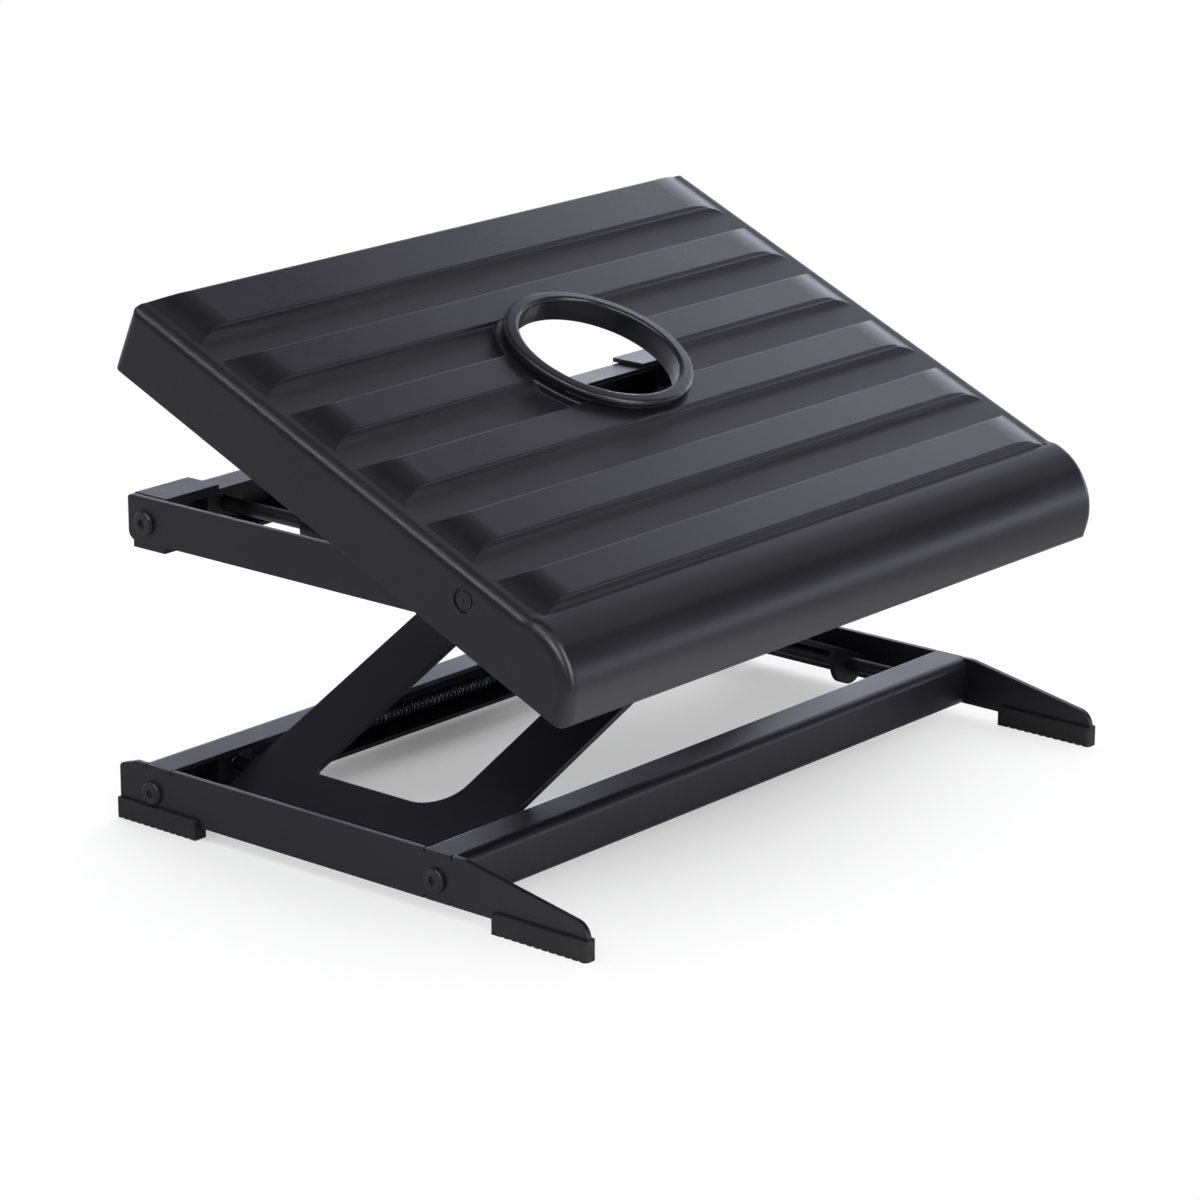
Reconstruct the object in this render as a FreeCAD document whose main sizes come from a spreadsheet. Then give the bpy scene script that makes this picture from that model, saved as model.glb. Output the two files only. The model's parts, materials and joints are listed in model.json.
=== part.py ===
"""Height and tilt adjustable footrest: scissor lift frame under a moulded foot plate.

The origin is on the floor under the middle of the footprint.  X runs across the footrest, Y away
from the person who uses it and Z up.  Lengths are millimetres and angles are degrees.
"""

import FreeCAD, Part
import math
import operator
import os

import Sketcher

Vector = FreeCAD.Vector
UP = Vector(0, 0, 1)
ACROSS = Vector(1, 0, 0)
AWAY = Vector(0, 1, 0)
LEFT = -1
RIGHT = 1
DOME_SHARE = 0.75
ROUND_END_SHARE = 0.49
EDGE_TOLERANCE = 0.001
FULL_TURN = 360
QUARTER_TURN = 90

DRIVING_SIZES = {
    # Fits that every piece shares
    "running_gap": 0.3,
    "shaft_gap": 0.05,
    "overrun": 6.0,
    # Base frame
    "frame_half_width": 219.4,
    "base_half_length": 166.6,
    "base_top": 33.9,
    "rail_height": 26.9,
    "rail_sheet": 3.0,
    "leg_slope_lead": 3.0,
    "leg_tip_height": 18.8,
    "leg_tip_round": 9.0,
    "rail_end_drop": 3.6,
    "rail_end_run": 12.0,
    "rail_end_round": 3.0,
    "tab_relief": 1.0,
    # Channels of both frames
    "channel_depth": 23.2,
    "channel_sheet": 2.5,
    "channel_bend": 5.0,
    "channel_tab_inset": 5.8,
    "front_channel_inset": 86.6,
    "rear_channel_inset": 16.6,
    "upper_channel_set_back": 2.5,
    # Frame bolts and the blocks that they are screwed into
    "front_bolt_inset": 16.1,
    "rear_bolt_inset": 9.4,
    "bolt_drop": 15.3,
    "upper_bolt_drop": 13.7,
    "bolt_radius": 4.0,
    "bolt_head_radius": 6.75,
    "bolt_head_height": 2.6,
    "bolt_socket": 5.0,
    "bolt_socket_depth": 1.6,
    "bolt_reach": 9.5,
    "block_length": 12.0,
    "pivot_block_length": 27.0,
    "front_block_depth": 20.0,
    "rear_block_depth": 13.2,
    "block_round": 3.0,
    # Rubber feet
    "foot_proud": 2.6,
    "foot_height": 11.0,
    "foot_end_wall": 1.2,
    "front_foot_length": 62.6,
    "rear_foot_length": 60.0,
    "foot_round": 2.4,
    "foot_groove_depth": 0.6,
    "foot_groove_width": 2.0,
    "foot_groove_spacing": 5.0,
    # Scissor links
    "rod_radius": 4.0,
    "fixed_pivot_inset": 16.4,
    "sliding_pivot_inset": 57.93,
    "link_sheet": 3.0,
    "link_bend": 3.5,
    "link_lip": 5.0,
    "link_front_clearance": 26.0,
    "link_rear_clearance": 30.0,
    "front_arm_width": 41.0,
    "rear_arm_width": 40.5,
    "link_foot_overhang": 26.8,
    "link_head_overhang": 12.0,
    "cross_bar_width": 29.2,
    "window_front_round": 22.0,
    "window_rear_round": 6.0,
    "link_clearance": 4.5,
    "ear_radius": 12.0,
    "ear_half_width": 19.0,
    "ear_round": 11.7,
    "clip_sheet": 1.2,
    "clip_radius": 7.5,
    # Slide blocks
    "slider_length": 26.0,
    "slider_width": 8.0,
    # Spring
    "wire_radius": 0.55,
    "coil_radius": 3.45,
    "coil_length": 150.0,
    "coil_turns": 44,
    "wire_bend": 2.0,
    "spring_set_back": 15.0,
    # Upper frame
    "upper_top": 182.5,
    "upper_rail_height": 24.5,
    "upper_rail_overhang": 0.4,
    "upper_rail_round": 2.0,
    "upper_rail_heel_round": 5.0,
    "bracket_sheet": 2.5,
    "bracket_bend": 2.8,
    "bracket_length": 41.0,
    # Foot plate, measured along and square to its own tilted plane from its pivot
    "plate_tilt": 23.42,
    "plate_pivot_lead": 9.4,
    "plate_pivot_drop": 9.8,
    "plate_side_gap": 3.1,
    "plate_shell": 3.0,
    "plate_wall": 2.5,
    "plate_floor": 14.2,
    "plate_wall_bottom": 24.3,
    "plate_rear": 254.6,
    "plate_rear_lean": 1.8,
    "plate_rear_top": 250.8,
    "plate_rear_round": 1.6,
    "nose_front": 77.0,
    "nose_foot": 80.5,
    "nose_round": 36.0,
    "nose_rise": 1.8,
    "nose_crest_lead": 6.0,
    "nose_ramp": 5.0,
    "nose_blend": 8.0,
    "lip_round": 3.0,
    "edge_round": 7.0,
    "rear_corner_round": 6.0,
    # Raised lands across the foot plate
    "land_height": 4.6,
    "land_spacing": 50.9,
    "land_width": 23.2,
    "first_land_front": 219.5,
    "land_count": 5,
    "front_riser": 5.2,
    "rear_riser": 4.4,
    "riser_crest": 0.7,
    "riser_foot": 7.0,
    "ledge_drop": 1.3,
    "ledge_lean": 0.7,
    "ledge_width": 2.0,
    "ledge_fall": 0.2,
    "ledge_root": 0.5,
    "rear_crest": 0.8,
    "crown_length": 12.9,
    "crown_inset": 10.8,
    "crown_round": 75.0,
    "crown_margin": 18.8,
    # Collared hole in the foot plate
    "hole_radius": 45.5,
    "hole_back": 122.8,
    "collar_width": 8.4,
    "collar_height": 6.5,
    "collar_fall": 0.6,
    "collar_round": 2.2,
    "collar_lip": 4.0,
    "collar_lip_round": 1.2,
    "collar_neck": 5.6,
    "collar_pad_width": 11.5,
    "collar_pad_drop": 0.3,
    "collar_pad_round": 1.2,
    # Tilt pivots
    "tilt_hole_radius": 6.5,
    "tilt_bush_inset": 1.3,
    "tilt_head_radius": 5.0,
    "tilt_head_inset": 0.2,
    "tilt_socket": 3.0,
    "tilt_socket_depth": 0.7,
    "tilt_shank_radius": 4.0,
    "tilt_nut_flats": 13.0,
    "tilt_nut_height": 6.5,
    "tilt_screw_proud": 1.5,
    "tilt_head_round": 0.8,
}

OPERATIONS = {"+": operator.add, "-": operator.sub, "*": operator.mul, "/": operator.truediv}


class Size:
    """A number together with the sheet expression that it is worked out from."""

    def __init__(self, number, text):
        self.number = number
        self.text = text

    def __add__(self, other):
        return joined(self, "+", other)

    def __radd__(self, other):
        return joined(other, "+", self)

    def __sub__(self, other):
        return joined(self, "-", other)

    def __rsub__(self, other):
        return joined(other, "-", self)

    def __mul__(self, other):
        return joined(self, "*", other)

    def __rmul__(self, other):
        return joined(other, "*", self)

    def __truediv__(self, other):
        return joined(self, "/", other)

    def __neg__(self):
        return joined(-1, "*", self)


def as_size(value):
    return value if isinstance(value, Size) else Size(value, str(value))


def joined(left, sign, right):
    left = as_size(left)
    right = as_size(right)
    return Size(OPERATIONS[sign](left.number, right.number), f"({left.text} {sign} {right.text})")


def root(size):
    return Size(math.sqrt(size.number), f"sqrt({size.text})")


def angle_of_sine(ratio):
    return Size(math.degrees(math.asin(ratio.number)), f"(asin({ratio.text}) / 1 deg)")


def fill_sheet(doc):
    """Writes the driving sizes into the sheet, one named cell for each."""
    sheet = doc.addObject("Spreadsheet::Sheet", "Sizes")
    for row, (name, number) in enumerate(DRIVING_SIZES.items(), start=1):
        sheet.set(f"A{row}", name)
        sheet.set(f"B{row}", str(number))
        sheet.setAlias(f"B{row}", name)
    doc.recompute()
    return sheet


class Sizes:
    """Reads a named cell of the sheet as a Size."""

    def __init__(self, sheet):
        for name in DRIVING_SIZES:
            setattr(self, name, Size(float(sheet.get(name)), f"Sizes.{name}"))


doc = FreeCAD.newDocument("Footrest")
s = Sizes(fill_sheet(doc))
nodes = {}


# Heights and places that several pieces share

base_bottom = s.base_top - s.rail_height
rail_inner = s.frame_half_width - s.rail_sheet
front_channel_web = s.base_half_length - s.front_channel_inset
base_rear_channel_web = s.base_half_length - s.rear_channel_inset
upper_rear_channel_web = base_rear_channel_web + s.upper_channel_set_back
bolt_front = front_channel_web - s.front_bolt_inset
bolt_rear = base_rear_channel_web - s.rear_bolt_inset
fixed_pivot = rail_inner - s.fixed_pivot_inset
sliding_pivot = s.sliding_pivot_inset - rail_inner
rail_tip = s.base_half_length - s.foot_end_wall
base_bolt_height = s.base_top - s.bolt_drop
upper_bottom = s.upper_top - s.upper_rail_height
upper_channel_top = s.upper_top - s.bracket_sheet
upper_channel_bottom = upper_channel_top - s.rail_height
upper_channel_end = rail_inner - s.bracket_sheet
upper_bolt_height = s.upper_top - s.upper_bolt_drop
lower_pivot = base_bottom + s.rail_height / 2
upper_pivot = upper_channel_bottom + s.rail_height / 2
lift_rise = upper_pivot - lower_pivot
lift_reach = fixed_pivot - sliding_pivot
link_span = root(lift_reach * lift_reach + lift_rise * lift_rise)
lift_angle = angle_of_sine(lift_rise / link_span)
crossing_x = fixed_pivot - lift_reach / 2
crossing_z = lower_pivot + lift_rise / 2
front_web_face = -front_channel_web + s.channel_sheet
base_rear_web_face = base_rear_channel_web - s.channel_sheet
upper_rear_web_face = upper_rear_channel_web - s.channel_sheet
plate_pivot_y = -(front_channel_web + s.plate_pivot_lead)
plate_pivot_z = s.upper_top - s.plate_pivot_drop
plate_half_width = s.frame_half_width + s.plate_side_gap + s.plate_wall


# Helpers that turn sizes into bound geometry

def bind(thing, path, size):
    thing.setExpression(path, as_size(size).text)


def place(thing, x=0, y=0, z=0, axis=None, angle=0):
    """Puts an object at a bound place, turned about one axis by a bound angle."""
    if axis is not None:
        thing.Placement.Rotation = FreeCAD.Rotation(axis, as_size(angle).number)
        bind(thing, "Placement.Rotation.Angle", angle)
    for name, size in (("x", x), ("y", y), ("z", z)):
        bind(thing, f"Placement.Base.{name}", size)


def span(side, inner, outer):
    """Low and high end of a stretch along X that lies on the left or right side."""
    if side == LEFT:
        return -outer, -inner
    return inner, outer


def make_body(name):
    body = doc.addObject("PartDesign::Body", name)
    body.Label = name
    return body


def sketch_on(body, role, offset=0, shift=0):
    """A sketch on one origin plane, moved along its normal and along its first axis."""
    plane = next(item for item in body.Origin.OriginFeatures if item.Role == role)
    sketch = body.newObject("Sketcher::SketchObject", f"{body.Name}_outline")
    sketch.AttachmentSupport = [(plane, "")]
    sketch.MapMode = "FlatFace"
    bind(sketch, "AttachmentOffset.Base.z", offset)
    bind(sketch, "AttachmentOffset.Base.x", shift)
    return sketch


def hold_point(sketch, geometry, point, x, y):
    """Ties one point of the sketch to its two bound coordinates."""
    for kind, size in (("DistanceX", x), ("DistanceY", y)):
        size = as_size(size)
        index = sketch.addConstraint(
            Sketcher.Constraint(kind, -1, 1, geometry, point, size.number)
        )
        sketch.setExpression(f"Constraints[{index}]", size.text)


def hold_radius(sketch, geometry, radius):
    radius = as_size(radius)
    index = sketch.addConstraint(Sketcher.Constraint("Radius", geometry, radius.number))
    sketch.setExpression(f"Constraints[{index}]", radius.text)


def draw_circle(sketch, x, y, radius):
    centre = Vector(as_size(x).number, as_size(y).number, 0)
    circle = sketch.addGeometry(Part.Circle(centre, UP, as_size(radius).number))
    hold_radius(sketch, circle, radius)
    hold_point(sketch, circle, 3, x, y)


def draw_outline(sketch, corners):
    """A closed outline through corners given as (x, y) or, for a rounded one, (x, y, radius)."""
    points = [Vector(as_size(c[0]).number, as_size(c[1]).number, 0) for c in corners]
    count = len(corners)
    entries, exits, arcs = [], [], []
    for i, corner in enumerate(corners):
        here = points[i]
        come = (here - points[i - 1]).normalize()
        go = (points[(i + 1) % count] - here).normalize()
        if len(corner) == 2:
            entries.append(here)
            exits.append(here)
            arcs.append(None)
            continue
        turn = come.getAngle(go)
        reach = as_size(corner[2]).number * math.tan(turn / 2)
        entries.append(here - come * reach)
        exits.append(here + go * reach)
        left_turn = come.cross(go).z > 0
        inward = Vector(-come.y, come.x, 0) if left_turn else Vector(come.y, -come.x, 0)
        centre = entries[i] + inward * as_size(corner[2]).number
        first, last = (entries[i], exits[i]) if left_turn else (exits[i], entries[i])
        begin = math.atan2(first.y - centre.y, first.x - centre.x)
        end = math.atan2(last.y - centre.y, last.x - centre.x)
        circle = Part.Circle(centre, UP, as_size(corner[2]).number)
        arcs.append((sketch.addGeometry(Part.ArcOfCircle(circle, begin, end)), left_turn))
    lines = [
        sketch.addGeometry(Part.LineSegment(exits[i], entries[(i + 1) % count]))
        for i in range(count)
    ]
    for i, corner in enumerate(corners):
        before, after = lines[i - 1], lines[i]
        if arcs[i] is None:
            sketch.addConstraint(Sketcher.Constraint("Coincident", before, 2, after, 1))
            hold_point(sketch, after, 1, corner[0], corner[1])
            continue
        arc, left_turn = arcs[i]
        first, last = (1, 2) if left_turn else (2, 1)
        sketch.addConstraint(Sketcher.Constraint("Tangent", before, 2, arc, first))
        sketch.addConstraint(Sketcher.Constraint("Tangent", arc, last, after, 1))
        hold_radius(sketch, arc, corner[2])
        point = sketch.addGeometry(Part.Point(points[i]), True)
        sketch.addConstraint(Sketcher.Constraint("PointOnObject", point, 1, before))
        sketch.addConstraint(Sketcher.Constraint("PointOnObject", point, 1, after))
        hold_point(sketch, point, 1, corner[0], corner[1])


def box_corners(low_x, high_x, low_y, high_y):
    return [(low_x, low_y), (high_x, low_y), (high_x, high_y), (low_x, high_y)]


def hexagon(across_flats):
    """Corners of a regular hexagon about the origin, with one corner on each side along X."""
    flat = across_flats / 2
    point = across_flats / root(as_size(3))
    return [
        (point, 0),
        (point / 2, flat),
        (-point / 2, flat),
        (-point, 0),
        (-point / 2, -flat),
        (point / 2, -flat),
    ]


def sketched(body, role, low, high, outlines, circles, adding):
    """The sketch of a pad or pocket that fills the stretch from low to high."""
    normal_is_back = role == "XZ_Plane"
    if adding:
        offset = -high if normal_is_back else low
    else:
        offset = -low if normal_is_back else high
    sketch = sketch_on(body, role, offset)
    for corners in outlines:
        draw_outline(sketch, corners)
    for x, y, radius in circles:
        draw_circle(sketch, x, y, radius)
    doc.recompute()
    return sketch


def settle(body, feature):
    """Makes a feature the body's tip and stops if it couldn't be worked out."""
    body.Tip = feature
    doc.recompute()
    if "Invalid" in feature.State or not body.Shape.Solids or not body.Shape.isValid():
        raise ValueError(f"{feature.Name} in {body.Label} has failed: {feature.State}")
    return feature


def pad(body, role, low, high, outlines, circles=()):
    """Adds the outlines as solid from low to high along the plane's axis."""
    feature_sketch = sketched(body, role, as_size(low), as_size(high), outlines, circles, True)
    feature = body.newObject("PartDesign::Pad", f"{body.Name}_pad")
    feature.Profile = feature_sketch
    bind(feature, "Length", as_size(high) - low)
    return settle(body, feature)


def pocket(body, role, low, high, outlines=(), circles=()):
    """Cuts the outlines out of the solid from low to high along the plane's axis."""
    volume = body.Shape.Volume
    feature_sketch = sketched(body, role, as_size(low), as_size(high), outlines, circles, False)
    feature = body.newObject("PartDesign::Pocket", f"{body.Name}_pocket")
    feature.Profile = feature_sketch
    bind(feature, "Length", as_size(high) - low)
    settle(body, feature)
    if body.Shape.Volume >= volume:
        raise ValueError(f"{feature.Name} in {body.Label} cuts nothing")
    return feature


def repeat(body, feature, axis_role, reach, count, backwards=False):
    """Repeats a feature along one origin axis, evenly over the reach."""
    axis = next(item for item in body.Origin.OriginFeatures if item.Role == axis_role)
    pattern = body.newObject("PartDesign::LinearPattern", f"{body.Name}_row")
    pattern.Originals = [feature]
    pattern.Direction = (axis, [""])
    pattern.Reversed = backwards
    bind(pattern, "Length", reach)
    bind(pattern, "Occurrences", count)
    return settle(body, pattern)


def turned(body, role, shift, corners):
    """Adds the outline turned round the sketch's own upright axis, which lies at the shift."""
    feature_sketch = sketch_on(body, role, 0, shift)
    draw_outline(feature_sketch, corners)
    doc.recompute()
    feature = body.newObject("PartDesign::Revolution", f"{body.Name}_turned")
    feature.Profile = feature_sketch
    feature.ReferenceAxis = (feature_sketch, ["V_Axis"])
    feature.Angle = FULL_TURN
    return settle(body, feature)


def cylinder(name, axis, x, y, z, radius, length):
    """A round bar from a point along X, Y or Z."""
    bar = doc.addObject("Part::Cylinder", name)
    bar.Label = name
    bind(bar, "Radius", radius)
    bind(bar, "Height", length)
    if axis == ACROSS:
        place(bar, x, y, z, AWAY, QUARTER_TURN)
    elif axis == AWAY:
        place(bar, x, y, z, ACROSS, -QUARTER_TURN)
    else:
        place(bar, x, y, z)
    return bar


def cut(name, base, tool):
    result = doc.addObject("Part::Cut", name)
    result.Label = name
    result.Base = base
    result.Tool = tool
    return result


def ring(name, axis, x, y, z, outer, inner, length):
    """A washer or bush with its bore along X, Y or Z."""
    whole = cylinder(f"{name}_blank", axis, x, y, z, outer, length)
    bore = cylinder(f"{name}_bore", axis, x, y, z, inner, length)
    return cut(name, whole, bore)


def group(name, things):
    """Several like pieces that share one node."""
    result = doc.addObject("Part::Compound", name)
    result.Label = name
    result.Links = things
    return result


def keep(name, thing):
    thing.Label = name
    nodes[name] = thing


# Base frame

def rail_notches(low, high, edge, depth):
    """Corners of a notch that a channel tab fills, going from low to high."""
    return [(low, edge), (low, edge + depth), (high, edge + depth), (high, edge)]


def base_rail(name, side):
    """Flat side rail whose front end tapers down into a leg."""
    body = make_body(name)
    low, high = span(side, rail_inner, s.frame_half_width)
    front_tab = (
        -front_channel_web + s.channel_tab_inset - s.tab_relief,
        -front_channel_web + s.channel_depth + s.tab_relief,
    )
    rear_tab = (
        base_rear_channel_web - s.channel_depth - s.tab_relief,
        base_rear_channel_web - s.channel_tab_inset + s.tab_relief,
    )
    lower = [(-rail_tip, base_bottom)]
    lower += rail_notches(*front_tab, base_bottom, s.channel_sheet)
    lower += rail_notches(*rear_tab, base_bottom, s.channel_sheet)
    lower += [(rail_tip, base_bottom)]
    upper = [
        (rail_tip, s.base_top - s.rail_end_drop, s.rail_end_round),
        (rail_tip - s.rail_end_run, s.base_top),
    ]
    upper += rail_notches(rear_tab[1], rear_tab[0], s.base_top, -s.channel_sheet)
    upper += rail_notches(front_tab[1], front_tab[0], s.base_top, -s.channel_sheet)
    leg_start = -front_channel_web - s.leg_slope_lead
    upper += [(leg_start, s.base_top), (-rail_tip, s.leg_tip_height, s.leg_tip_round)]
    bolts = [
        (-bolt_front, base_bolt_height, s.bolt_radius + s.shaft_gap),
        (bolt_rear, base_bolt_height, s.bolt_radius + s.shaft_gap),
    ]
    pad(body, "YZ_Plane", low, high, [lower + upper], bolts)
    keep(name, body)


def channel_section(web, mouth, bottom, top):
    """C section of folded sheet from its web to the free edges of its flanges."""
    inward = s.channel_sheet if mouth.number > web.number else -s.channel_sheet
    inner_bend = s.channel_bend - s.channel_sheet
    return [
        (mouth, top),
        (web, top, s.channel_bend),
        (web, bottom, s.channel_bend),
        (mouth, bottom),
        (mouth, bottom + s.channel_sheet),
        (web + inward, bottom + s.channel_sheet, inner_bend),
        (web + inward, top - s.channel_sheet, inner_bend),
        (mouth, top - s.channel_sheet),
    ]


def base_channel(name, web, mouth):
    """Cross channel whose flange tabs fill the notches of both side rails."""
    body = make_body(name)
    section = channel_section(web, mouth, base_bottom, s.base_top)
    pad(body, "YZ_Plane", -rail_inner, rail_inner, [section])
    outward = -s.channel_tab_inset if web.number > mouth.number else s.channel_tab_inset
    low, high = sorted((web + outward, mouth), key=lambda size: size.number)
    tabs = [
        box_corners(low, high, s.base_top - s.channel_sheet, s.base_top),
        box_corners(low, high, base_bottom, base_bottom + s.channel_sheet),
    ]
    pad(body, "YZ_Plane", -s.frame_half_width, s.frame_half_width, tabs)
    keep(name, body)


def block_outline(web_face, mouth_face, bottom, top):
    """Outline of a block that fills a channel against its web and both flanges."""
    return [
        (web_face, bottom, s.block_round),
        (mouth_face, bottom),
        (mouth_face, top),
        (web_face, top, s.block_round),
    ]


def end_block(name, side, outer_end, length, faces, heights, bolt, rod_height=None):
    """Block in a channel end that takes a frame bolt and, on the right, a lift rod."""
    web_face, mouth_face = faces
    bottom, top = heights
    bolt_y, bolt_z = bolt
    body = make_body(name)
    low, high = span(side, outer_end - length, outer_end)
    pad(body, "YZ_Plane", low, high, [block_outline(web_face, mouth_face, bottom, top)])
    hole_low, hole_high = span(side, outer_end - s.bolt_reach, outer_end)
    hole = [(bolt_y, bolt_z, s.bolt_radius)]
    pocket(body, "YZ_Plane", hole_low, hole_high, circles=hole)
    if rod_height is not None:
        low_y, high_y = sorted(faces, key=lambda size: size.number)
        rod = [(fixed_pivot, rod_height, s.rod_radius)]
        pocket(body, "XZ_Plane", low_y, high_y, circles=rod)
    keep(name, body)


def frame_bolt(name, side, start, y, z):
    """Button head bolt whose head stands on the outer face of a rail."""
    body = make_body(name)
    head = s.bolt_head_height
    profile = [
        (0, -(s.rail_sheet + s.bolt_reach)),
        (s.bolt_radius, -(s.rail_sheet + s.bolt_reach)),
        (s.bolt_radius, 0),
        (s.bolt_head_radius, 0),
        (s.bolt_head_radius, head, head * DOME_SHARE),
        (0, head),
    ]
    turned(body, "XZ_Plane", 0, profile)
    pocket(body, "XY_Plane", head - s.bolt_socket_depth, head, [hexagon(s.bolt_socket)])
    place(body, side * start, y, z, AWAY, as_size(side * QUARTER_TURN))
    return body


def foot(name, side, end, length, notch=None):
    """Rubber foot that grips the lower edge of a rail and wraps its end."""
    body = make_body(name)
    outer = s.frame_half_width + s.foot_proud
    inner = rail_inner - s.foot_proud
    low_x, high_x = span(side, inner, outer)
    if end == LEFT:
        low_y, high_y = -s.base_half_length, -s.base_half_length + length
        slot_low, slot_high = -rail_tip, high_y
        tip_y, open_y = low_y, high_y
    else:
        low_y, high_y = s.base_half_length - length, s.base_half_length
        slot_low, slot_high = low_y, rail_tip
        tip_y, open_y = high_y, low_y
    plan = [
        (low_x, tip_y, s.foot_round),
        (high_x, tip_y, s.foot_round),
        (high_x, open_y),
        (low_x, open_y),
    ]
    pad(body, "XY_Plane", 0, s.foot_height, [plan])
    slot_x = span(side, rail_inner, s.frame_half_width)
    slot = box_corners(*slot_x, base_bottom, s.foot_height + s.overrun)
    pocket(body, "XZ_Plane", slot_low, slot_high, [slot])
    if notch is not None:
        cheek_x = span(side, inner - s.overrun, rail_inner)
        cheek = box_corners(*cheek_x, base_bottom, s.foot_height + s.overrun)
        pocket(body, "XZ_Plane", *notch, [cheek])
    start = low_y + s.foot_groove_spacing
    half = s.foot_groove_width / 2
    groove = [
        (start - half, -s.overrun),
        (start + half, -s.overrun),
        (start + half, 0),
        (start, s.foot_groove_depth),
        (start - half, 0),
    ]
    first = pocket(body, "YZ_Plane", low_x - s.overrun, high_x + s.overrun, [groove])
    count = int((length.number - s.foot_groove_spacing.number) / s.foot_groove_spacing.number)
    repeat(body, first, "Y_Axis", s.foot_groove_spacing * (count - 1), count)
    keep(name, body)


def base_frame():
    base_rail("base_left_rail", LEFT)
    base_rail("base_right_rail", RIGHT)
    front_mouth = -front_channel_web + s.channel_depth
    rear_mouth = base_rear_channel_web - s.channel_depth
    base_channel("base_front_channel", -front_channel_web, front_mouth)
    base_channel("base_rear_channel", base_rear_channel_web, rear_mouth)
    heights = (base_bottom + s.channel_sheet, s.base_top - s.channel_sheet)
    front = (front_web_face, front_web_face + s.front_block_depth)
    rear = (base_rear_web_face, base_rear_web_face - s.rear_block_depth)
    front_bolt = (-bolt_front, base_bolt_height)
    rear_bolt = (bolt_rear, base_bolt_height)
    short, long = s.block_length, s.pivot_block_length
    end_block("base_front_end_block", LEFT, rail_inner, short, front, heights, front_bolt)
    end_block("base_rear_end_block", LEFT, rail_inner, short, rear, heights, rear_bolt)
    end_block("base_front_pivot_block", RIGHT, rail_inner, long, front, heights, front_bolt,
              lower_pivot)
    end_block("base_rear_pivot_block", RIGHT, rail_inner, long, rear, heights, rear_bolt,
              lower_pivot)
    bolts = [
        frame_bolt(f"base_bolt_{i}", side, s.frame_half_width, y, base_bolt_height)
        for i, (side, y) in enumerate(
            [(LEFT, -bolt_front), (LEFT, bolt_rear), (RIGHT, -bolt_front), (RIGHT, bolt_rear)]
        )
    ]
    keep("base_frame_bolts", group("base_frame_bolts", bolts))
    foot("front_left_foot", LEFT, LEFT, s.front_foot_length)
    foot("front_right_foot", RIGHT, LEFT, s.front_foot_length)
    channel = (rear_mouth - s.running_gap, base_rear_channel_web + s.running_gap)
    foot("rear_left_foot", LEFT, RIGHT, s.rear_foot_length, channel)
    foot("rear_right_foot", RIGHT, RIGHT, s.rear_foot_length, channel)
    low = front_web_face + s.running_gap
    rod = cylinder("lower_pivot_rod", AWAY, fixed_pivot, low, lower_pivot, s.rod_radius,
                   base_rear_web_face - s.running_gap - low)
    keep("lower_pivot_rod", rod)


# Scissor links, drawn with the crossing at the origin and the top face of the sheet level

link_top = s.rod_radius + s.running_gap + s.link_sheet
link_underside = s.rod_radius + s.running_gap
half_span = link_span / 2
outer_front = -front_channel_web + s.link_front_clearance
outer_rear = base_rear_channel_web - s.link_rear_clearance
window_front = outer_front + s.front_arm_width
window_rear = outer_rear - s.rear_arm_width
inner_front = window_front + s.link_clearance
inner_rear = window_rear - s.link_clearance


def link_sheet_profile(low, high):
    """Side view of a link: level sheet whose two ends are bent down into lips."""
    sheet = s.link_sheet
    lip = link_underside - s.link_lip
    inner_bend = s.link_bend - sheet
    return [
        (low, lip),
        (low + sheet, lip),
        (low + sheet, link_underside, inner_bend),
        (high - sheet, link_underside, inner_bend),
        (high - sheet, lip),
        (high, lip),
        (high, link_top, s.link_bend),
        (low, link_top, s.link_bend),
    ]


def add_ear(body, x, low_y, high_y, left_half, right_half):
    """Ear that hangs from a link round a pivot, with a rounded foot."""
    corners = [
        (x - left_half, link_underside),
        (x - s.ear_radius, -s.ear_radius, s.ear_round),
        (x + s.ear_radius, -s.ear_radius, s.ear_round),
        (x + right_half, link_underside),
        (x + right_half, link_top - s.link_sheet / 2),
        (x - left_half, link_top - s.link_sheet / 2),
    ]
    pad(body, "XZ_Plane", low_y, high_y, [corners])


def bore_ears(body, places, low_y, high_y):
    circles = [(x, 0, s.rod_radius + s.shaft_gap) for x in places]
    pocket(body, "XZ_Plane", low_y, high_y, circles=circles)


def outer_link():
    """Wide link: a folded sheet with a long window that the narrow link swings through."""
    body = make_body("outer_link_plate")
    low = -half_span - s.link_foot_overhang
    high = half_span + s.link_head_overhang
    pad(body, "XZ_Plane", outer_front, outer_rear, [link_sheet_profile(low, high)])
    window = [
        (low + s.cross_bar_width, window_front, s.window_front_round),
        (high - s.cross_bar_width, window_front, s.window_front_round),
        (high - s.cross_bar_width, window_rear, s.window_rear_round),
        (low + s.cross_bar_width, window_rear, s.window_rear_round),
    ]
    pocket(body, "XY_Plane", link_underside - s.overrun, link_top + s.overrun, [window])
    half, short = s.ear_half_width, s.link_head_overhang
    for low_y in (outer_front, outer_rear - s.link_sheet):
        add_ear(body, -half_span, low_y, low_y + s.link_sheet, half, half)
        add_ear(body, half_span, low_y, low_y + s.link_sheet, half, short)
    for low_y in (window_front - s.link_sheet, window_rear):
        add_ear(body, as_size(0), low_y, low_y + s.link_sheet, half, half)
    bore_ears(body, (-half_span, 0, half_span), outer_front, outer_rear)
    place(body, crossing_x, 0, crossing_z, AWAY, -lift_angle)
    keep("outer_link_plate", body)


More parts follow.
